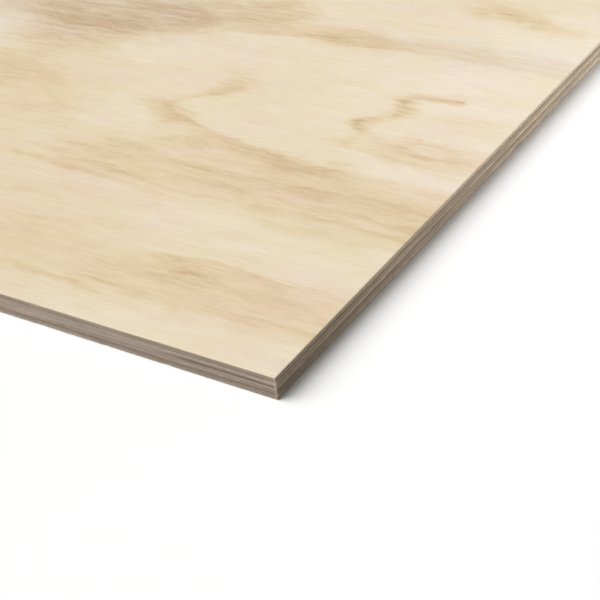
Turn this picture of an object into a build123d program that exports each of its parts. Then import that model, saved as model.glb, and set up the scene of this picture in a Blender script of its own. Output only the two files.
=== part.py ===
from build123d import *

import os

# A five-ply pine plywood sheet, laid up veneer by veneer and pressed flat.
# Millimetres. The origin is the middle of the underside, +X runs along the face
# grain, +Y across it, and +Z is up, towards the good face.

# Trimmed outline of the sheet
sheet_length = 2400.0
sheet_width = 1200.0

# Veneer thicknesses, after pressing and sanding
face_thickness = 3.0
upper_crossband_thickness = 3.0
core_thickness = 3.0
lower_crossband_thickness = 3.0
back_thickness = 3.0

# Sanding takes the sharp arris off both outer veneers
arris_radius = 0.4

# The lay-up from the underside up. The grain turns by a right angle at each glue line:
# the back, core and face run along the sheet, and the two crossbands run across it.
# The last entry is the broad face that is sanded, counted up from the lowest.
lay_up = [
    ("back_veneer", back_thickness, 0),
    ("lower_crossband", lower_crossband_thickness, None),
    ("core_veneer", core_thickness, None),
    ("upper_crossband", upper_crossband_thickness, None),
    ("face_veneer", face_thickness, -1),
]

os.makedirs("parts", exist_ok=True)

level = 0.0
for name, thickness, sanded_face in lay_up:
    # Each veneer lies on the one below it, glued face to face and trimmed flush with it
    with BuildPart() as veneer:
        with BuildSketch(Plane.XY.offset(level)):
            Rectangle(sheet_length, sheet_width)
        extrude(amount=thickness)
        if sanded_face is not None:
            broad_face = veneer.faces().sort_by(Axis.Z)[sanded_face]
            fillet(broad_face.edges(), radius=arris_radius)
    veneer.part.label = name
    export_step(veneer.part, f"parts/{name}.step")
    level += thickness
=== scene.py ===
import math
import random

import bmesh
import bpy
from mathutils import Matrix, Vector, noise


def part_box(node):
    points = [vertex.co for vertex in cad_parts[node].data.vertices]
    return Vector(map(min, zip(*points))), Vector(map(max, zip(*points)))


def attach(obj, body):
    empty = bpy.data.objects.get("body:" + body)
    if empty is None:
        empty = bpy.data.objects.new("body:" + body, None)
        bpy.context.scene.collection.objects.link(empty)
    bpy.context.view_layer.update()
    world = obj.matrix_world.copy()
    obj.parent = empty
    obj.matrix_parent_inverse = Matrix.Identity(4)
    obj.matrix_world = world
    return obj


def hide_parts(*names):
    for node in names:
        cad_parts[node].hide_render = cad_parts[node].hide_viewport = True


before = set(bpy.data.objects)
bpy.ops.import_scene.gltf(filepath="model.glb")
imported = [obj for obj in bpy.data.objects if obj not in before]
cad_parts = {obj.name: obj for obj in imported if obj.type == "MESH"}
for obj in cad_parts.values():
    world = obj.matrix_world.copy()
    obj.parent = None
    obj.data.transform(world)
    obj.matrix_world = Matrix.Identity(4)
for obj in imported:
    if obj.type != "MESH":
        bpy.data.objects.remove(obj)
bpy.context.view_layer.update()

mm = 0.001
hair = 0.000001    # points this near count as level with each other
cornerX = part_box("face_veneer")[1][0]    # the near corner of the good face
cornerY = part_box("face_veneer")[0][1]


# Small helpers for node trees

def newMaterial(name):
    material = bpy.data.materials.new(name)
    material.use_nodes = True
    material.node_tree.nodes.clear()
    return material, material.node_tree


def addNode(tree, kind, settings=None, feeds=None):
    node = tree.nodes.new(kind)
    for key, value in (settings or {}).items():
        setattr(node, key, value)
    for key, value in (feeds or {}).items():
        if isinstance(value, bpy.types.NodeSocket):
            tree.links.new(value, node.inputs[key])
        else:
            node.inputs[key].default_value = value
    return node


def maths(tree, operation, *values, clamp=False):
    feeds = dict(enumerate(values))
    node = addNode(tree, "ShaderNodeMath", {"operation": operation, "use_clamp": clamp}, feeds)
    return node.outputs[0]


def product(tree, *values):
    result = values[0]
    for value in values[1:]:
        result = maths(tree, "MULTIPLY", result, value)
    return result


def eitherSide(tree, value, amount):    # a noise from 0 to 1 as a push to one side or the other
    return maths(tree, "MULTIPLY_ADD", value, amount, -amount / 2)


def mixColour(tree, factor, first, second, blend="MIX"):
    settings = {"data_type": "RGBA", "blend_type": blend}
    node = addNode(tree, "ShaderNodeMix", settings, {0: factor, 6: first, 7: second})
    return node.outputs[2]


def shaded(tree, colour, shade):    # the colour times one number
    grey = addNode(tree, "ShaderNodeCombineColor", None, {0: shade, 1: shade, 2: shade}).outputs[0]
    return mixColour(tree, 1.0, colour, grey, "MULTIPLY")


def rgb(red, green, blue):    # screen values from 0 to 255, as linear light
    linear = []
    for value in (red, green, blue):
        share = value / 255
        linear.append(share / 12.92 if share <= 0.04045 else ((share + 0.055) / 1.055) ** 2.4)
    return (*linear, 1.0)


# A noise pattern is given by how often it repeats in a metre along x, y and z, by its detail and
# roughness and by a shift. Its limits are the noise from and to, and the values they turn into.

def stretchedNoise(tree, coords, pattern, shift=None, output=0):
    feeds = {"Vector": coords, "Scale": pattern["scale"],
             "Location": shift or pattern.get("shift", (0.0, 0.0, 0.0))}
    mapping = addNode(tree, "ShaderNodeMapping", None, feeds)
    feeds = {"Vector": mapping.outputs[0], "Scale": 1.0,
             "Detail": pattern["detail"], "Roughness": pattern["roughness"]}
    return addNode(tree, "ShaderNodeTexNoise", None, feeds).outputs[output]


def spread(tree, value, limits, smooth=True):
    settings = {"interpolation_type": "SMOOTHSTEP" if smooth else "LINEAR"}
    feeds = dict(enumerate((value, *limits)))
    return addNode(tree, "ShaderNodeMapRange", settings, feeds).outputs[0]


def spreadNoise(tree, coords, pattern, shift=None):
    return spread(tree, stretchedNoise(tree, coords, pattern, shift), pattern["limits"])


def colourRamp(tree, factor, places, colours):
    node = addNode(tree, "ShaderNodeValToRGB", None, {0: factor})
    elements = node.color_ramp.elements
    while len(elements) < len(places):
        elements.new(0.5)
    for element, place, colour in zip(elements, places, colours):
        element.position = place
        element.color = rgb(*colour)
    return node.outputs[0]


def floatCurve(tree, value, points):
    node = addNode(tree, "ShaderNodeFloatCurve", None, {"Value": value})
    curve = node.mapping.curves[0]
    while len(curve.points) < len(points):
        curve.points.new(0.5, 0.5)
    for point, (across, up) in zip(curve.points, sorted(points)):
        point.location = (across, up)
    node.mapping.update()
    return node.outputs[0]


def finishWood(tree, colour, roughness, height, finish):
    bump = addNode(tree, "ShaderNodeBump", None,
                   {"Height": height, "Distance": finish["bumpDepth"], "Strength": 1.0})
    feeds = {"Base Color": colour, "Roughness": roughness, "Normal": bump.outputs[0],
             "Specular IOR Level": finish["shine"]}
    shader = addNode(tree, "ShaderNodeBsdfPrincipled", None, feeds)
    output = addNode(tree, "ShaderNodeOutputMaterial")
    tree.links.new(shader.outputs[0], output.inputs[0])


# Camera, floor and light

camera = {"lens": 84.0, "sensor": 36.0, "clip": (0.02, 60.0),
          "place": (1.5620538, -1.0758506, 0.4686121),
          "turn": (55.7027, 5.3862, 31.8803)}


def placeCamera():
    data = bpy.data.cameras.new("cornerCamera")
    data.sensor_width = camera["sensor"]
    data.lens = camera["lens"]
    data.clip_start, data.clip_end = camera["clip"]
    eye = bpy.data.objects.new("cornerCamera", data)
    bpy.context.collection.objects.link(eye)
    eye.location = camera["place"]
    eye.rotation_euler = [math.radians(angle) for angle in camera["turn"]]
    bpy.context.scene.camera = eye
    bpy.context.scene.view_settings.view_transform = "Standard"


studio = {"floorSize": 60.0, "floorDrop": 0.0002,
          "floorColour": (1.0, 1.0, 0.995), "floorBounce": (0.42, 0.40, 0.37), "floorLift": 0.012,
          "skyColour": (1.0, 1.0, 1.0), "skyLevel": 0.15, "skySeen": 0.985,
          "keyFrom": (-5.0, -3.4, 7.4), "keyAim": (0.0, 0.0, 0.0), "keyAngle": 58.0, "keyLevel": 3.38,
          "fillFrom": (1.62, 0.25, 0.04), "fillAim": (1.20, 0.25, 0.02),
          "fillSize": (1.0, 0.05), "fillPower": 3.2}


def seenRays(tree):    # 1 for what the camera sees, straight or by way of gloss or glass
    rays = addNode(tree, "ShaderNodeLightPath")
    seen = maths(tree, "MAXIMUM", rays.outputs["Is Camera Ray"], rays.outputs["Is Glossy Ray"])
    return maths(tree, "MAXIMUM", seen, rays.outputs["Is Transmission Ray"])


def layFloor():
    bpy.ops.object.select_all(action="DESELECT")
    bpy.ops.mesh.primitive_plane_add(size=studio["floorSize"], location=(0, 0, -studio["floorDrop"]))
    floor = bpy.context.object
    floor.name = "paleFloor"
    material, tree = newMaterial("paleFloor")
    seen = seenRays(tree)
    colour = mixColour(tree, seen, (*studio["floorBounce"], 1.0), (*studio["floorColour"], 1.0))
    board = addNode(tree, "ShaderNodeBsdfDiffuse", None, {"Color": colour})
    lift = addNode(tree, "ShaderNodeEmission", None,
                   {"Strength": maths(tree, "MULTIPLY", seen, studio["floorLift"])})
    shader = addNode(tree, "ShaderNodeAddShader", None, {0: board.outputs[0], 1: lift.outputs[0]})
    output = addNode(tree, "ShaderNodeOutputMaterial")
    tree.links.new(shader.outputs[0], output.inputs[0])
    floor.data.materials.append(material)


def hangLamp(lamp, place, aim):
    holder = bpy.data.objects.new(lamp.name, lamp)
    bpy.context.collection.objects.link(holder)
    holder.location = place
    holder.rotation_euler = (Vector(aim) - Vector(place)).to_track_quat("-Z", "Y").to_euler()
    holder.visible_camera = False


def lightSheet():
    world = bpy.data.worlds.new("softRoom")
    bpy.context.scene.world = world
    world.use_nodes = True
    tree = world.node_tree
    tree.nodes.clear()
    level = maths(tree, "MULTIPLY_ADD", seenRays(tree), studio["skySeen"] - studio["skyLevel"],
                  studio["skyLevel"])
    sky = addNode(tree, "ShaderNodeBackground", None,
                  {"Color": (*studio["skyColour"], 1.0), "Strength": level})
    output = addNode(tree, "ShaderNodeOutputWorld")
    tree.links.new(sky.outputs[0], output.inputs[0])
    key = bpy.data.lights.new("softKey", "SUN")
    key.energy = studio["keyLevel"]
    key.angle = math.radians(studio["keyAngle"])
    hangLamp(key, studio["keyFrom"], studio["keyAim"])
    fill = bpy.data.lights.new("sideFill", "AREA")
    fill.shape = "RECTANGLE"
    fill.size, fill.size_y = studio["fillSize"]
    fill.energy = studio["fillPower"]
    hangLamp(fill, studio["fillFrom"], studio["fillAim"])


# The figure of the good face
# Millimetres from the near corner: the first number runs left along the front edge as a minus
# number, the second runs in from the front edge. A line is dark on its path and fades off it.

figureSpan = 520.0    # how far the listed figure reaches, both ways

figureLines = [
    {"path": [(-150, 72), (-125, 77), (-100, 81), (-60, 80), (-30, 79), (0, 76)],
     "strength": [(-150, 0.0), (-125, 0.5), (-95, 0.75), (-60, 0.55), (0, 0.35)],
     "above": 4.0, "below": 20.0},
    {"path": [(-170, 54), (-120, 57), (-85, 58), (-50, 62), (0, 68)],
     "strength": [(-170, 0.0), (-140, 0.35), (-90, 0.5), (-50, 0.25), (0, 0.3)],
     "above": 3.0, "below": 9.0},
    {"path": [(-185, 33), (-160, 36), (-120, 37), (-60, 39), (-30, 43), (0, 43)],
     "strength": [(-185, 0.0), (-160, 0.5), (-110, 0.35), (-30, 0.5), (0, 0.45)],
     "above": 3.5, "below": 8.0},
    {"path": [(-215, 28), (-165, 28), (-140, 25), (-100, 23), (-60, 27), (0, 33)],
     "strength": [(-215, 0.1), (-170, 0.55), (-140, 0.3), (-60, 0.15), (0, 0.3)],
     "above": 3.0, "below": 6.0},
    {"path": [(-268, 256), (-252, 246), (-238, 235), (-218, 229), (-197, 224), (-163, 217),
              (-137, 213), (-110, 210), (-70, 205), (-30, 206), (0, 206)],
     "strength": [(-268, 0.0), (-258, 0.2), (-250, 0.6), (-238, 0.8), (-218, 0.9), (-190, 0.95),
                  (-150, 0.9), (-90, 0.9), (-70, 0.7), (-55, 0.4), (0, 0.45)],
     "above": 4.5, "below": 20.0},
    {"path": [(-275, 190), (-240, 185), (-200, 178), (-150, 176), (-100, 179), (-50, 183), (0, 180)],
     "strength": [(-275, 0.0), (-240, 0.45), (-200, 0.35), (-180, 0.5), (-150, 0.4), (-100, 0.55),
                  (0, 0.4)],
     "above": 8.0, "below": 12.0},
    {"path": [(-290, 171), (-250, 172), (-200, 166), (-150, 163), (-60, 162), (0, 164)],
     "strength": [(-290, 0.1), (-255, 0.4), (-220, 0.1), (-150, 0.25), (-60, 0.3), (0, 0.5)],
     "above": 4.0, "below": 10.0},
    {"path": [(-275, 154), (-235, 154), (-205, 150), (-185, 146), (-140, 146), (-90, 149),
              (-40, 150), (0, 149)],
     "strength": [(-275, 0.15), (-240, 0.6), (-215, 0.75), (-190, 0.5), (-140, 0.5), (-60, 0.5),
                  (0, 0.65)],
     "above": 5.0, "below": 9.0},
    {"path": [(-320, 144), (-280, 143), (-250, 142), (-200, 137), (-130, 135), (-60, 134), (0, 136)],
     "strength": [(-320, 0.3), (-280, 0.6), (-250, 0.55), (-205, 0.35), (-130, 0.3), (0, 0.3)],
     "above": 8.0, "below": 4.0},
    {"path": [(-210, 127), (-175, 128), (-160, 113), (-130, 112), (0, 112)],
     "strength": [(-210, 0.0), (-180, 0.25), (-155, 0.25), (-130, 0.1), (-100, 0.0), (0, 0.0)],
     "above": 3.0, "below": 3.0},
    {"path": [(-120, 244), (-90, 240), (-60, 235), (-30, 233), (0, 234)],
     "strength": [(-120, 0.0), (-100, 0.45), (-80, 0.45), (-40, 0.35), (0, 0.3)],
     "above": 9.0, "below": 3.0},
    {"path": [(-70, 250), (-45, 247), (-20, 250), (0, 256)],
     "strength": [(-75, 0.0), (-50, 0.45), (-20, 0.3), (0, 0.35)],
     "above": 5.0, "below": 6.0},
    {"path": [(-300, 366), (-270, 378), (-240, 383), (-200, 388), (-160, 387), (-120, 390),
              (-50, 391), (0, 386)],
     "strength": [(-300, 0.4), (-270, 0.55), (-235, 0.75), (-185, 0.8), (-160, 0.55), (-130, 0.3),
                  (0, 0.3)],
     "above": 20.0, "below": 4.0},
    {"path": [(-112, 316), (-96, 320), (-84, 325), (-71, 327), (-61, 329), (-52, 328), (-42, 325),
              (0, 318)],
     "strength": [(-112, 0.0), (-98, 0.3), (-88, 0.8), (-78, 0.9), (-66, 1.0), (-56, 1.0), (-49, 0.6),
                  (-42, 0.0), (0, 0.0)],
     "above": 10.0, "below": 10.0, "weight": 1.35},
    {"path": [(-240, 396), (-200, 394), (-170, 399), (-140, 403), (-90, 401), (0, 398)],
     "strength": [(-240, 0.0), (-205, 0.4), (-185, 0.6), (-168, 0.4), (-150, 0.3), (-120, 0.2),
                  (0, 0.2)],
     "above": 7.0, "below": 5.0},
    {"path": [(-300, 404), (-200, 408), (-150, 408), (-100, 404), (0, 403)],
     "strength": [(-300, 0.3), (-200, 0.25), (-150, 0.35), (-60, 0.25), (0, 0.2)],
     "above": 5.0, "below": 8.0},
    {"path": [(-500, 353), (-440, 351), (-390, 351), (-350, 356), (-320, 363), (-300, 374), (0, 380)],
     "strength": [(-500, 0.5), (-440, 0.55), (-360, 0.5), (-320, 0.6), (-300, 0.3), (-285, 0.0),
                  (0, 0.0)],
     "above": 40.0, "below": 8.0},
]

# Lines that run across the grain: the path gives, for each distance in, how far left the line is
figureTurns = [
    {"path": [(236, -94), (244, -100), (255, -97), (262, -99), (268, -105), (274, -108), (280, -104),
              (285, -95), (292, -88), (300, -85), (307, -88), (314, -91), (320, -89), (325, -82),
              (330, -72)],
     "strength": [(236, 0.2), (244, 0.5), (255, 0.2), (264, 0.9), (272, 1.0), (278, 1.0), (285, 0.6),
                  (293, 0.8), (300, 1.0), (307, 1.0), (314, 1.0), (320, 0.9), (326, 0.5), (332, 0.0)],
     "left": 12.0, "right": 17.0, "weight": 1.45},
    {"path": [(235, -232), (246, -250), (256, -250), (266, -240), (276, -228), (288, -216),
              (300, -222), (312, -240)],
     "strength": [(235, 0.0), (246, 0.5), (258, 0.6), (270, 0.55), (290, 0.4), (302, 0.2),
                  (314, 0.0)],
     "left": 20.0, "right": 7.0},
]

# Broad tan zones: centre and half sizes in millimetres, turn in degrees
figurePatches = [
    {"centre": (-60, 53), "half": (150, 38), "turn": 0, "strength": 0.29},
    {"centre": (-105, 69), "half": (30, 14), "turn": 0, "strength": 0.30},
    {"centre": (-75, 172), "half": (290, 52), "turn": -2, "strength": 0.34},
    {"centre": (-255, 158), "half": (70, 30), "turn": 0, "strength": 0.18},
    {"centre": (-194, 205), "half": (30, 20), "turn": 0, "strength": 0.30},
    {"centre": (-130, 206), "half": (75, 15), "turn": -3, "strength": 0.24},
    {"centre": (-245, 238), "half": (34, 20), "turn": -40, "strength": 0.30},
    {"centre": (-226, 290), "half": (32, 34), "turn": -25, "strength": 0.28},
    {"centre": (-35, 250), "half": (75, 24), "turn": 0, "strength": 0.34},
    {"centre": (-30, 292), "half": (60, 26), "turn": 0, "strength": 0.16},
    {"centre": (-182, 396), "half": (80, 20), "turn": 0, "strength": 0.14},
    {"centre": (-100, 400), "half": (230, 22), "turn": 0, "strength": 0.22},
    {"centre": (-318, 392), "half": (62, 54), "turn": -35, "strength": 0.34},
    {"centre": (-420, 372), "half": (150, 52), "turn": 8, "strength": 0.42},
    {"centre": (-268, 422), "half": (50, 42), "turn": 0, "strength": 0.46},
    {"centre": (-400, 328), "half": (95, 44), "turn": 12, "strength": 0.42},
    {"centre": (-430, 250), "half": (60, 70), "turn": 0, "strength": 0.22},
    {"centre": (-95, 484), "half": (62, 26), "turn": -12, "strength": 0.50},
    {"centre": (-55, 470), "half": (40, 16), "turn": -20, "strength": 0.35},
    {"centre": (-325, 208), "half": (30, 22), "turn": 0, "strength": 0.16},
    {"centre": (-300, 90), "half": (190, 90), "turn": 0, "strength": 0.20},
    {"centre": (-400, 220), "half": (130, 150), "turn": 0, "strength": 0.22},
    {"centre": (-430, 400), "half": (190, 90), "turn": 10, "strength": 0.22},
    {"centre": (-190, 45), "half": (110, 60), "turn": 0, "strength": 0.14},
]

# Zones of another tint, one laid over the other
tintZones = [
    {"tint": "grey", "centre": (-440, 390), "half": (240, 130), "turn": 10, "strength": 1.0},
    {"tint": "grey", "centre": (-50, 402), "half": (170, 34), "turn": 0, "strength": 0.7},
    # this paler zone, in from the near corner, is partly paler wood and partly painted light
    {"tint": "creamAndLight", "centre": (20, 350), "half": (210, 230), "turn": 0, "strength": 1.0},
]

lineSoftness = 1.2    # how fast a line fades off its path
zoneCore = 0.75       # the share of its half size over which a zone rises to its full tone


# The two broad faces
# Screen colours run from the ground to the darkest latewood. The tints are laid over them.

goodFace = {"pale": (237, 223, 199), "tan": (230, 210, 177), "deep": (218, 194, 157),
            "dark": (201, 173, 134),
            "pink": (238, 219, 201), "straw": (234, 221, 188), "grey": (233, 222, 208),
            # the next tint is partly paler wood and partly painted light
            "creamAndLight": (242, 230, 210),
            "hills": {"scale": (0.75, 4.2, 1.0), "detail": 1.2, "roughness": 0.4,
                      "shift": (0.35, 0.2, 0.0)},
            "rings": 10.0, "slope": 2.6, "rise": 1.8, "handLaid": True}

backFace = {"pale": (226, 208, 180), "tan": (217, 195, 162), "deep": (205, 180, 145),
            "dark": (186, 158, 122),
            "pink": (226, 200, 176), "straw": (222, 206, 168), "grey": (222, 206, 184),
            "hills": {"scale": (0.9, 5.0, 1.0), "detail": 1.2, "roughness": 0.4,
                      "shift": (7.7, 2.6, 0.0)},
            "rings": 13.0, "slope": -3.4, "rise": 1.5, "handLaid": False}

faceTone = {"ruffleLift": 0.014, "fringeLift": 0.005, "fringePush": 0.012,    # metres
            "rings": 0.74, "ringRuffle": 0.22, "ringEnd": (0.94, 1.0, 1.0, 0.0),
            "heart": 0.26, "heartGrey": 0.5, "most": 0.74, "drawn": 0.54,
            "awayAlong": (-0.44, -0.56, 0.0, 1.0), "awayAcross": (0.44, 0.56, 0.0, 1.0),
            "streaks": 0.30, "blotch": 0.40, "drift": 0.26, "ground": 0.08,
            "stops": (0.0, 0.32, 0.64, 1.0), "roughness": (0.0, 1.0, 0.80, 0.66),
            "fibreRelief": 0.6, "toneRelief": 0.5, "bumpDepth": 0.00012, "shine": 0.2}

facePatterns = {
    "ruffle": {"scale": (24.0, 50.0, 1.0), "detail": 3.0, "roughness": 0.58},
    "fringe": {"scale": (70.0, 380.0, 1.0), "detail": 2.0, "roughness": 0.6},
    "torn": {"scale": (15.0, 30.0, 1.0), "detail": 5.0, "roughness": 0.68, "reach": (0.12, 0.05, 0.0)},
    "ringRuffle": {"scale": (16.0, 70.0, 1.0), "detail": 3.0, "roughness": 0.6},
    "ringFade": {"scale": (1.6, 9.0, 1.0), "detail": 2.0, "roughness": 0.5, "shift": (3.1, 0.4, 0.0),
                 "limits": (0.34, 0.68, 0.25, 1.0)},
    "heart": {"scale": (1.3, 4.4, 1.0), "detail": 3.0, "roughness": 0.6, "shift": (5.0, 2.0, 0.0),
              "limits": (0.52, 0.72, 0.0, 1.0)},
    "streak": {"scale": (21.0, 135.0, 1.0), "detail": 4.0, "roughness": 0.66,
               "limits": (0.32, 0.66, 0.66, 1.22)},
    "fineLines": {"scale": (30.0, 420.0, 1.0), "detail": 3.0, "roughness": 0.7,
                  "shift": (0.0, 9.0, 0.0), "limits": (0.40, 0.60, 0.80, 1.14)},
    "breaks": {"scale": (26.0, 95.0, 1.0), "detail": 3.0, "roughness": 0.62, "shift": (4.0, 4.0, 0.0),
               "limits": (0.30, 0.66, 0.50, 1.10)},
    "fibre": {"scale": (22.0, 620.0, 1.0), "detail": 3.0, "roughness": 0.65,
              "limits": (0.25, 0.75, 0.945, 1.03)},
    "streaks": {"scale": (14.0, 90.0, 1.0), "detail": 4.0, "roughness": 0.66, "shift": (0.0, 5.0, 0.0)},
    "blotch": {"scale": (34.0, 62.0, 1.0), "detail": 5.0, "roughness": 0.72, "shift": (2.0, 8.0, 0.0)},
    "drift": {"scale": (3.0, 8.0, 1.0), "detail": 3.0, "roughness": 0.55, "shift": (1.0, 1.0, 0.0)},
    "pink": {"scale": (9.0, 20.0, 1.0), "detail": 4.0, "roughness": 0.6, "shift": (9.0, 3.0, 0.0),
             "limits": (0.42, 0.74, 0.0, 0.8)},
    "straw": {"scale": (13.0, 26.0, 1.0), "detail": 4.0, "roughness": 0.6, "shift": (3.0, 6.0, 0.0),
              "limits": (0.42, 0.74, 0.0, 0.8)},
    "canals": {"scale": (60.0, 1500.0, 1.0), "detail": 1.0, "roughness": 0.5, "shift": (6.0, 0.0, 0.0),
               "limits": (0.66, 0.74, 1.0, 0.90)},
}


def latewoodLine(tree, shares, line, turned):
    # a turned line runs across the grain, so its path is read by the distance in
    first, second = (1, 0) if turned else (0, 1)
    starts = (1.0, 0.0)
    path = [(starts[first] + a / figureSpan, starts[second] + b / figureSpan) for a, b in line["path"]]
    strength = [(starts[first] + a / figureSpan, b) for a, b in line["strength"]]
    sides = (line["right"], line["left"]) if turned else (line["above"], line["below"])
    off = maths(tree, "SUBTRACT", shares[second], floatCurve(tree, shares[first], path))
    outer = maths(tree, "MULTIPLY_ADD", off, -figureSpan / sides[0], 1.0, clamp=True)
    inner = maths(tree, "MULTIPLY_ADD", off, figureSpan / sides[1], 1.0, clamp=True)
    shape = maths(tree, "POWER", product(tree, outer, inner), lineSoftness)
    return product(tree, shape, line.get("weight", 1.0), floatCurve(tree, shares[first], strength))


def tornEdge(tree, coords, place):    # ragged outlines for the broad zones
    reach = facePatterns["torn"]["reach"]
    cloud = stretchedNoise(tree, coords, facePatterns["torn"], output=1)
    feeds = {0: cloud, 1: reach, 2: [-part / 2 for part in reach]}
    push = addNode(tree, "ShaderNodeVectorMath", {"operation": "MULTIPLY_ADD"}, feeds).outputs[0]
    return addNode(tree, "ShaderNodeVectorMath", {"operation": "ADD"}, {0: place, 1: push}).outputs[0]


def softZone(tree, place, zone):
    feeds = {"Vector": place,
             "Location": (zone["centre"][0] * mm, zone["centre"][1] * mm, 0.0),
             "Rotation": (0.0, 0.0, math.radians(zone["turn"])),
             "Scale": (zone["half"][0] * mm, zone["half"][1] * mm, 1.0)}
    mapping = addNode(tree, "ShaderNodeMapping", {"vector_type": "TEXTURE"}, feeds)
    ball = addNode(tree, "ShaderNodeTexGradient", {"gradient_type": "SPHERICAL"}, {0: mapping.outputs[0]})
    return product(tree, spread(tree, ball.outputs[1], (0.0, zoneCore, 0.0, 1.0)), zone["strength"])


def drawnFigure(tree, pushed, bent, place, streak, breaks):    # all the listed lines and zones
    span = figureSpan * mm
    shares = (maths(tree, "ADD", maths(tree, "DIVIDE", pushed, span), 1.0),
              maths(tree, "DIVIDE", bent, span))
    drawn = 0.0
    for lines, turned in ((figureLines, False), (figureTurns, True)):
        for line in lines:
            drawn = maths(tree, "MAXIMUM", latewoodLine(tree, shares, line, turned), drawn)
    zones = 0.0
    for zone in figurePatches:
        zones = maths(tree, "ADD", softZone(tree, place, zone), zones)
    return maths(tree, "MULTIPLY_ADD", product(tree, drawn, breaks), faceTone["drawn"],
                 product(tree, zones, streak))


def ringFigure(tree, coords, across, look):    # the peeled figure, rings cut at a flat angle
    hills = stretchedNoise(tree, coords, look["hills"])
    ruffle = stretchedNoise(tree, coords, facePatterns["ringRuffle"])
    field = maths(tree, "MULTIPLY_ADD", hills, look["rings"], product(tree, across, look["slope"]))
    field = maths(tree, "MULTIPLY_ADD", ruffle, faceTone["ringRuffle"], field)
    step = maths(tree, "FRACT", field)
    rise = maths(tree, "POWER", step, look["rise"])
    return product(tree, rise, spread(tree, step, faceTone["ringEnd"]),
                   spreadNoise(tree, coords, facePatterns["ringFade"]))


def rotaryFace(name, look):
    material, tree = newMaterial(name)
    coords = addNode(tree, "ShaderNodeTexCoord").outputs["Object"]
    parts = addNode(tree, "ShaderNodeSeparateXYZ", None, {0: coords})
    along = maths(tree, "SUBTRACT", parts.outputs[0], cornerX)
    across = maths(tree, "SUBTRACT", parts.outputs[1], cornerY)
    # small pushes make every line and zone waver
    ruffle = stretchedNoise(tree, coords, facePatterns["ruffle"])
    fringe = stretchedNoise(tree, coords, facePatterns["fringe"])
    lift = maths(tree, "ADD", eitherSide(tree, ruffle, faceTone["ruffleLift"]),
                 eitherSide(tree, fringe, faceTone["fringeLift"]))
    bent = maths(tree, "ADD", across, lift)
    pushed = maths(tree, "ADD", along, eitherSide(tree, fringe, faceTone["fringePush"]))
    wavy = addNode(tree, "ShaderNodeCombineXYZ", None, {0: parts.outputs[0], 1: bent}).outputs[0]
    # fine lines along the grain keep the tan zones crisp from near by
    fineLines = spreadNoise(tree, wavy, facePatterns["fineLines"])
    streak = product(tree, spreadNoise(tree, wavy, facePatterns["streak"]), fineLines)
    breaks = product(tree, spreadNoise(tree, coords, facePatterns["breaks"]), fineLines)
    heart = spreadNoise(tree, coords, facePatterns["heart"])
    tone = product(tree, ringFigure(tree, coords, bent, look), faceTone["rings"], streak)
    tone = maths(tree, "MULTIPLY_ADD", product(tree, heart, streak), faceTone["heart"], tone)
    tone = maths(tree, "MINIMUM", tone, faceTone["most"])
    if look["handLaid"]:
        place = addNode(tree, "ShaderNodeCombineXYZ", None, {0: pushed, 1: bent}).outputs[0]
        place = tornEdge(tree, coords, place)
        away = maths(tree, "MAXIMUM", spread(tree, along, faceTone["awayAlong"]),
                     spread(tree, across, faceTone["awayAcross"]))
        near = maths(tree, "SUBTRACT", 1.0, away)
        heart = product(tree, heart, away)
        drawn = drawnFigure(tree, pushed, bent, place, streak, breaks)
        tone = maths(tree, "ADD", product(tree, tone, away), product(tree, drawn, near))
    # broken streaks and blotches over a slow drift of the ground colour
    for grain, source in (("streaks", wavy), ("blotch", coords), ("drift", coords)):
        amount = stretchedNoise(tree, source, facePatterns[grain])
        tone = maths(tree, "ADD", tone, eitherSide(tree, amount, faceTone[grain]))
    tone = maths(tree, "ADD", tone, faceTone["ground"], clamp=True)
    woods = [look[wood] for wood in ("pale", "tan", "deep", "dark")]
    colour = colourRamp(tree, tone, faceTone["stops"], woods)
    tints = [(tint, spreadNoise(tree, coords, facePatterns[tint])) for tint in ("pink", "straw")]
    tints.append(("grey", product(tree, heart, faceTone["heartGrey"])))
    if look["handLaid"]:
        tints += [(zone["tint"], softZone(tree, place, zone)) for zone in tintZones]
    for tint, amount in tints:
        share = [a / b for a, b in zip(rgb(*look[tint]), rgb(*look["pale"]))]
        colour = mixColour(tree, amount, colour, mixColour(tree, 1.0, colour, share, "MULTIPLY"))
    # short fibres, and resin canals as fine dashes along the grain
    fibre = stretchedNoise(tree, coords, facePatterns["fibre"])
    shade = product(tree, spread(tree, fibre, facePatterns["fibre"]["limits"]),
                    spreadNoise(tree, coords, facePatterns["canals"]))
    height = maths(tree, "MULTIPLY_ADD", fibre, faceTone["fibreRelief"],
                   product(tree, tone, faceTone["toneRelief"]))
    roughness = spread(tree, tone, faceTone["roughness"])
    finishWood(tree, shaded(tree, colour, shade), roughness, height, faceTone)
    return material


# The sawn edges
# Screen colours from the bottom of a veneer to its top. On the short sides they go by the cut, end
# grain or long grain, and on the long sides each veneer has its own.

sideWood = {
    "end": {"glue": (150, 132, 112), "low": (202, 185, 164), "mid": (208, 190, 168),
            "high": (212, 194, 172)},
    "long": {"glue": (148, 129, 108), "low": (190, 171, 148), "mid": (188, 169, 146),
             "high": (184, 165, 142)},
    "faceVeneer": {"glue": (158, 142, 126), "low": (180, 163, 146), "mid": (182, 165, 147),
                   "high": (188, 172, 154)},
    "upperCrossband": {"glue": (172, 156, 141), "low": (188, 173, 158), "mid": (206, 190, 175),
                       "high": (204, 188, 173)},
    "coreVeneer": {"glue": (154, 137, 121), "low": (196, 180, 165), "mid": (182, 166, 150),
                   "high": (142, 124, 108)},
    "lowerCrossband": {"glue": (172, 156, 141), "low": (138, 122, 107), "mid": (182, 166, 151),
                       "high": (200, 184, 169)},
    "backVeneer": {"glue": (160, 143, 127), "low": (206, 190, 175), "mid": (200, 184, 169),
                   "high": (182, 165, 149)},
    # the first colour is a darker brown near the corners, partly dirt and partly painted shade
    "dirtAndShade": (186, 168, 146), "paleCornerStrip": (228, 212, 188), "faint": (200, 184, 168),
}
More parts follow.
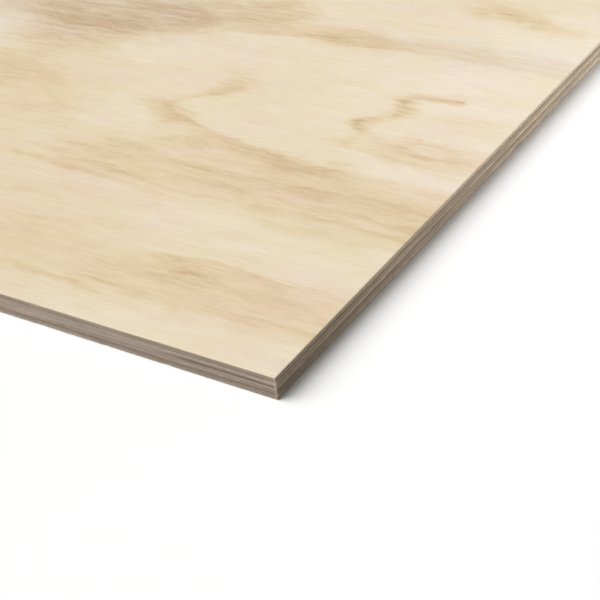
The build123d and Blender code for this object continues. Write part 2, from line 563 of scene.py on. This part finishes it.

# What differs between the sides that face along x and those that face along y: how much dirt and painted
# shade darken them near the corners
sideWear = ({"dirtAndShade": 0.65, "paintedCornerShade": 0.68}, {"dirtAndShade": 0.0, "paintedCornerShade": 0.92})

edgeTone = {"bands": (0.0, 0.05, 0.45, 0.70, 1.0),
            "faintFrom": (0.05, 0.09, 0.0, 1.0), "faintTo": (0.25, 0.45, 1.0, 0.0),
            "dirtAndShadeReach": 0.09, "paintedCornerShadeReach": 0.16, "gritElsewhere": 0.25,
            "paleCornerStrip": (0.0003, 0.0026, 0.8, 0.0), "paleCornerFleck": (0.35, 0.60, 0.0, 1.0),
            "fleckRelief": 0.5, "roughness": (0.3, 0.7, 0.86, 0.74),
            "seedStep": 1.7, "bumpDepth": 0.0003, "shine": 0.2}

edgePatterns = {
    "slow": {"scale": (26.0, 26.0, 1.0), "detail": 2.0, "roughness": 0.5, "reach": 0.40},
    "quick": {"scale": (170.0, 170.0, 1.0), "detail": 2.0, "roughness": 0.6, "reach": 0.16},
    "longStreak": {"scale": (9.0, 9.0, 1100.0), "detail": 4.0, "roughness": 0.65,
                   "limits": (0.28, 0.72, 0.80, 1.18)},
    "endStreak": {"scale": (120.0, 120.0, 500.0), "detail": 4.0, "roughness": 0.65,
                  "limits": (0.28, 0.72, 0.84, 1.14)},
    "longFleck": {"scale": (45.0, 45.0, 2400.0), "detail": 2.0, "roughness": 0.6,
                  "limits": (0.3, 0.7, 0.93, 1.06)},
    "endFleck": {"scale": (1500.0, 1500.0, 1500.0), "detail": 2.0, "roughness": 0.6,
                 "limits": (0.3, 0.7, 0.93, 1.06)},
    "longChecks": {"scale": (70.0, 70.0, 1900.0), "detail": 2.0, "roughness": 0.55,
                   "limits": (0.60, 0.70, 1.0, 0.70)},
    "endChecks": {"scale": (500.0, 500.0, 700.0), "detail": 2.0, "roughness": 0.55,
                  "limits": (0.60, 0.70, 1.0, 0.70)},
    "patch": {"scale": (9.0, 9.0, 130.0), "detail": 3.0, "roughness": 0.58,
              "limits": (0.3, 0.7, 0.82, 1.12)},
    "grit": {"scale": (330.0, 330.0, 330.0), "detail": 2.0, "roughness": 0.6,
             "limits": (0.3, 0.7, 0.88, 1.12)},
}


def sawnEdge(name, look):
    material, tree = newMaterial(name)
    coords = addNode(tree, "ShaderNodeTexCoord").outputs["Object"]
    parts = addNode(tree, "ShaderNodeSeparateXYZ", None, {0: coords})
    shift = look["shift"]
    # each veneer has its bands from glue line to glue line, and these lines waver
    share = maths(tree, "SUBTRACT", parts.outputs[2], look["level"])
    share = maths(tree, "DIVIDE", share, look["thickness"])
    for waver in ("slow", "quick"):
        amount = stretchedNoise(tree, coords, edgePatterns[waver], shift)
        share = maths(tree, "ADD", share, eitherSide(tree, amount, edgePatterns[waver]["reach"]))
    bands = [look[band] for band in ("glue", "low", "mid", "high", "glue")]
    if look["easeBottom"]:
        bands[0] = look["low"]
    if look["easeTop"]:
        bands[-1] = look["high"]
    colour = colourRamp(tree, share, edgeTone["bands"], bands)
    inwards = maths(tree, "ABSOLUTE", parts.outputs[look["alongAxis"]])
    inwards = maths(tree, "SUBTRACT", look["reach"], inwards)
    # away from the corners the dark lines are faint for a stretch
    faint = product(tree, spread(tree, inwards, edgeTone["faintFrom"]),
                    spread(tree, inwards, edgeTone["faintTo"]), look["faintLines"])
    colour = mixColour(tree, faint, colour, rgb(*sideWood["faint"]))
    streakLook, fleckLook, checkLook = [edgePatterns[look["cut"] + part]
                                        for part in ("Streak", "Fleck", "Checks")]
    streak = stretchedNoise(tree, coords, streakLook, shift)
    fleck = stretchedNoise(tree, coords, fleckLook, shift)
    shade = product(tree, spread(tree, streak, streakLook["limits"], smooth=False),
                    spread(tree, fleck, fleckLook["limits"]),
                    spreadNoise(tree, coords, edgePatterns["patch"], shift),
                    spreadNoise(tree, coords, checkLook, shift))
    # near the corners the sides turn a darker brown, partly dirt and partly painted shade, mostly on the
    # sides that face along x
    dirtAndShade = spread(tree, inwards, (0.0, edgeTone["dirtAndShadeReach"], look["dirtAndShade"], 0.0))
    colour = mixColour(tree, dirtAndShade, colour, rgb(*sideWood["dirtAndShade"]))
    # the side is paler in places within a few millimetres of the upright corner
    paleCornerStrip = product(tree, spread(tree, inwards, edgeTone["paleCornerStrip"]),
                     spread(tree, fleck, edgeTone["paleCornerFleck"]))
    colour = mixColour(tree, paleCornerStrip, colour, rgb(*sideWood["paleCornerStrip"]))
    grit = spreadNoise(tree, coords, edgePatterns["grit"], shift)
    grit = maths(tree, "POWER", grit, maths(tree, "ADD", dirtAndShade, edgeTone["gritElsewhere"]))
    # painted shade: each sawn side is drawn darker towards the corners, most on the sides that face along
    # x
    corner = spread(tree, inwards, (0.0, edgeTone["paintedCornerShadeReach"], look["paintedCornerShade"], 1.0))
    colour = shaded(tree, colour, product(tree, shade, grit, corner))
    relief = maths(tree, "MULTIPLY_ADD", fleck, edgeTone["fleckRelief"], streak)
    roughness = spread(tree, streak, edgeTone["roughness"])
    finishWood(tree, colour, roughness, relief, edgeTone)
    return material


# The veneers, from the underside up

veneers = [
    {"name": "backVeneer", "node": "back_veneer", "slot": "back_veneer", "grain": "x",
     "easeTop": False, "easeBottom": True, "seed": 11},
    {"name": "lowerCrossband", "node": "lower_crossband", "slot": "crossband_veneer", "grain": "y",
     "easeTop": False, "easeBottom": False, "seed": 12},
    {"name": "coreVeneer", "node": "core_veneer", "slot": "core_veneer", "grain": "x",
     "easeTop": False, "easeBottom": False, "seed": 13, "faintLines": 0.85},
    {"name": "upperCrossband", "node": "upper_crossband", "slot": "crossband_veneer", "grain": "y",
     "easeTop": False, "easeBottom": False, "seed": 14},
    {"name": "faceVeneer", "node": "face_veneer", "slot": "face_veneer", "grain": "x",
     "easeTop": True, "easeBottom": False, "seed": 15},
]

# Metres, except for counts, the normals, which are shares, and the angle, in degrees
sawCut = {"ease": 0.0004, "easeSegments": 3, "glueGroove": 0.00010, "inset": 0.002, "insets": 2,
          "cells": (40, 20), "rows": 3, "border": 0.0025, "fineCuts": 4, "fineRounds": 2,
          "uprightLength": 0.001, "broadNormal": 0.9999, "facedNormal": 0.9, "easedNormal": 0.5,
          "mergeGap": 0.000002, "smoothAngle": 35.0}

# How deep the saw leaves each side, how rough it is, and how fine that is along it and up it
sawMarks = {"skin": 0.0006,
            "end": {"recess": 0.00010, "rough": 0.00016, "along": 420.0},
            "long": {"recess": 0.0, "rough": 0.00008, "along": 130.0},
            "upwards": 900.0, "seedStep": 7.3, "sideStep": 3.1,
            "slowRough": 0.00006, "slowAlong": 14.0, "slowSeedStep": 2.1, "slowSideStep": 5.5}

arrisWear = {"chips": 90, "sides": (0, 0, 1),    # two in three on the long sides
             "depth": (0.00025, 0.0008), "length": (0.003, 0.012),
             "height": 0.0012, "steepness": 1.6, "drop": 0.5}


def selectEdges(piece, test):
    bpy.ops.mesh.select_all(action="DESELECT")
    mesh = bmesh.from_edit_mesh(piece.data)
    for edge in mesh.edges:
        edge.select_set(test(edge.verts[0].co, edge.verts[1].co))
    bmesh.update_edit_mesh(piece.data)


def selectFaces(piece, test):
    bpy.ops.mesh.select_all(action="DESELECT")
    mesh = bmesh.from_edit_mesh(piece.data)
    for face in mesh.faces:
        face.select_set(test(face))
    bmesh.update_edit_mesh(piece.data)


def runsAlong(a, b, axis):    # an edge that is parallel to x, y or z
    gap = b - a
    return all(abs(gap[other]) < hair for other in range(3) if other != axis) and abs(gap[axis]) > hair


def nearSide(point, high, axis):    # close to the side that runs along that axis
    return high[1 - axis] - abs(point[1 - axis]) < sawCut["border"]


def buildVeneer(look):
    low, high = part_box(look["node"])
    bpy.ops.object.select_all(action="DESELECT")
    bpy.ops.mesh.primitive_cube_add(size=1, location=(low + high) / 2, scale=high - low)
    piece = bpy.context.object
    piece.name = look["name"]
    bpy.ops.object.transform_apply(location=True, rotation=True, scale=True)
    bpy.ops.object.mode_set(mode="EDIT")
    bpy.ops.mesh.select_mode(type="EDGE")
    # ease the outer arris, and open a hairline at each glue line
    for level, eased in ((high.z, look["easeTop"]), (low.z, look["easeBottom"])):
        selectEdges(piece, lambda a, b: abs(a.z - level) < hair and abs(b.z - level) < hair)
        bpy.ops.mesh.bevel(offset=sawCut["ease"] if eased else sawCut["glueGroove"],
                           segments=sawCut["easeSegments"] if eased else 1, affect="EDGES")
    # narrow borders keep the shading of the broad faces level behind the chips
    bpy.ops.mesh.select_mode(type="FACE")
    selectFaces(piece, lambda face: abs(face.normal.z) > sawCut["broadNormal"])
    for border in range(sawCut["insets"]):
        bpy.ops.mesh.inset(thickness=sawCut["inset"], use_individual=True)
    bpy.ops.mesh.select_mode(type="EDGE")
    for axis, cells in enumerate(sawCut["cells"]):
        selectEdges(piece, lambda a, b: runsAlong(a, b, axis))
        bpy.ops.mesh.subdivide(number_cuts=cells - 1)
    selectEdges(piece, lambda a, b: runsAlong(a, b, 2) and abs(b.z - a.z) > sawCut["uprightLength"])
    bpy.ops.mesh.subdivide(number_cuts=sawCut["rows"])
    # the sawn sides get finer and finer cuts along their length
    for turn in range(sawCut["fineRounds"]):
        for axis in (0, 1):
            selectEdges(piece, lambda a, b: runsAlong(a, b, axis) and nearSide(a, high, axis)
                        and nearSide(b, high, axis))
            bpy.ops.mesh.subdivide(number_cuts=sawCut["fineCuts"])
    bpy.ops.object.mode_set(mode="OBJECT")
    return piece, low, high


def sideCut(look, axis):    # what the sides that face along that axis show, end grain or long grain
    return "end" if (look["grain"] == "x") == (axis == 0) else "long"


def arrisChips(look, high):    # seeded places along the four arrises where the saw lifted splinters
    draw = random.Random(look["seed"])
    chips = []
    for number in range(arrisWear["chips"]):
        side = draw.choice(arrisWear["sides"])
        chips.append({"side": side, "sign": draw.choice((-1, 1)),
                      "place": draw.uniform(-high[side], high[side]),
                      "half": draw.uniform(*arrisWear["length"]) / 2,
                      "depth": draw.uniform(*arrisWear["depth"])})
    return chips


def sawDepth(look, axis, along, height):    # how far the side lies behind its plane at that point
    marks = sawMarks[sideCut(look, axis)]
    fine = Vector((along * marks["along"], height * sawMarks["upwards"],
                   look["seed"] * sawMarks["seedStep"] + axis * sawMarks["sideStep"]))
    slow = Vector((along * sawMarks["slowAlong"], look["seed"] * sawMarks["slowSeedStep"],
                   axis * sawMarks["slowSideStep"]))
    depth = marks["recess"]
    for place, rough in ((fine, marks["rough"]), (slow, sawMarks["slowRough"])):
        depth += rough * (0.5 + 0.5 * noise.noise(place))
    return depth


def roughenEdges(piece, look, low, high):
    chips = arrisChips(look, high) if look["easeTop"] or look["easeBottom"] else []
    arris = high.z if look["easeTop"] else low.z
    for vertex in piece.data.vertices:
        place = vertex.co.copy()
        for axis in (0, 1):    # axis is the one that the side faces along
            if high[axis] - abs(place[axis]) > sawMarks["skin"]:
                continue
            along = place[1 - axis]
            vertex.co[axis] -= math.copysign(sawDepth(look, axis, along, place.z), place[axis])
            for chip in chips:
                if chip["side"] == axis or chip["sign"] * place[axis] < 0:
                    continue
                reach = 1 - abs(along - chip["place"]) / chip["half"]
                level = 1 - abs(place.z - arris) / arrisWear["height"]
                if reach > 0 and level > 0:
                    cut = chip["depth"] * min(1.0, reach * arrisWear["steepness"]) * level
                    vertex.co[axis] -= math.copysign(cut, place[axis])
                    vertex.co.z += math.copysign(cut * arrisWear["drop"], low.z + high.z - 2 * arris)
    piece.data.update()


def paintVeneer(piece, look, broad, low, high):
    sides = []
    for axis in (0, 1):    # the sides that face along x, then those that face along y
        cut = sideCut(look, axis)
        wood = sideWood[cut if axis == 0 else look["name"]]
        sideLook = {**wood, **sideWear[axis], "cut": cut,
                    "level": low.z, "thickness": high.z - low.z,
                    "easeTop": look["easeTop"], "easeBottom": look["easeBottom"],
                    "alongAxis": 1 - axis, "reach": high[1 - axis],
                    "faintLines": look.get("faintLines", 0.0) if axis == 1 else 0.0,
                    "shift": (0.0, 0.0, look["seed"] * edgeTone["seedStep"])}
        sides.append(sawnEdge(look["name"] + cut.capitalize() + "Grain", sideLook))
    for material in (broad or sides[1], *sides):
        piece.data.materials.append(material)
    for face in piece.data.polygons:
        normal = face.normal
        outer = (look["easeTop"] and normal.z > sawCut["easedNormal"]
                 or look["easeBottom"] and normal.z < -sawCut["easedNormal"])
        if outer or abs(normal.z) > sawCut["facedNormal"]:
            face.material_index = 0
        else:
            face.material_index = 1 if abs(normal.x) > abs(normal.y) else 2


def finishVeneer(piece, look):
    bpy.ops.object.select_all(action="DESELECT")
    piece.select_set(True)
    bpy.context.view_layer.objects.active = piece
    bpy.ops.object.mode_set(mode="EDIT")
    bpy.ops.mesh.select_all(action="SELECT")
    bpy.ops.mesh.remove_doubles(threshold=sawCut["mergeGap"])
    bpy.ops.mesh.normals_make_consistent(inside=False)
    bpy.ops.object.mode_set(mode="OBJECT")
    bpy.ops.object.shade_smooth_by_angle(angle=math.radians(sawCut["smoothAngle"]))
    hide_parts(look["node"])
    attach(piece, "root")


placeCamera()
layFloor()
lightSheet()
print("camera, floor and light set")

broadFaces = {"faceVeneer": rotaryFace("goodPineFace", goodFace),
              "backVeneer": rotaryFace("plainPineBack", backFace)}
for look in veneers:
    piece, low, high = buildVeneer(look)
    roughenEdges(piece, look, low, high)
    paintVeneer(piece, look, broadFaces.get(look["name"]), low, high)
    finishVeneer(piece, look)
    print("laid", look["name"], "with", len(piece.data.polygons), "faces")
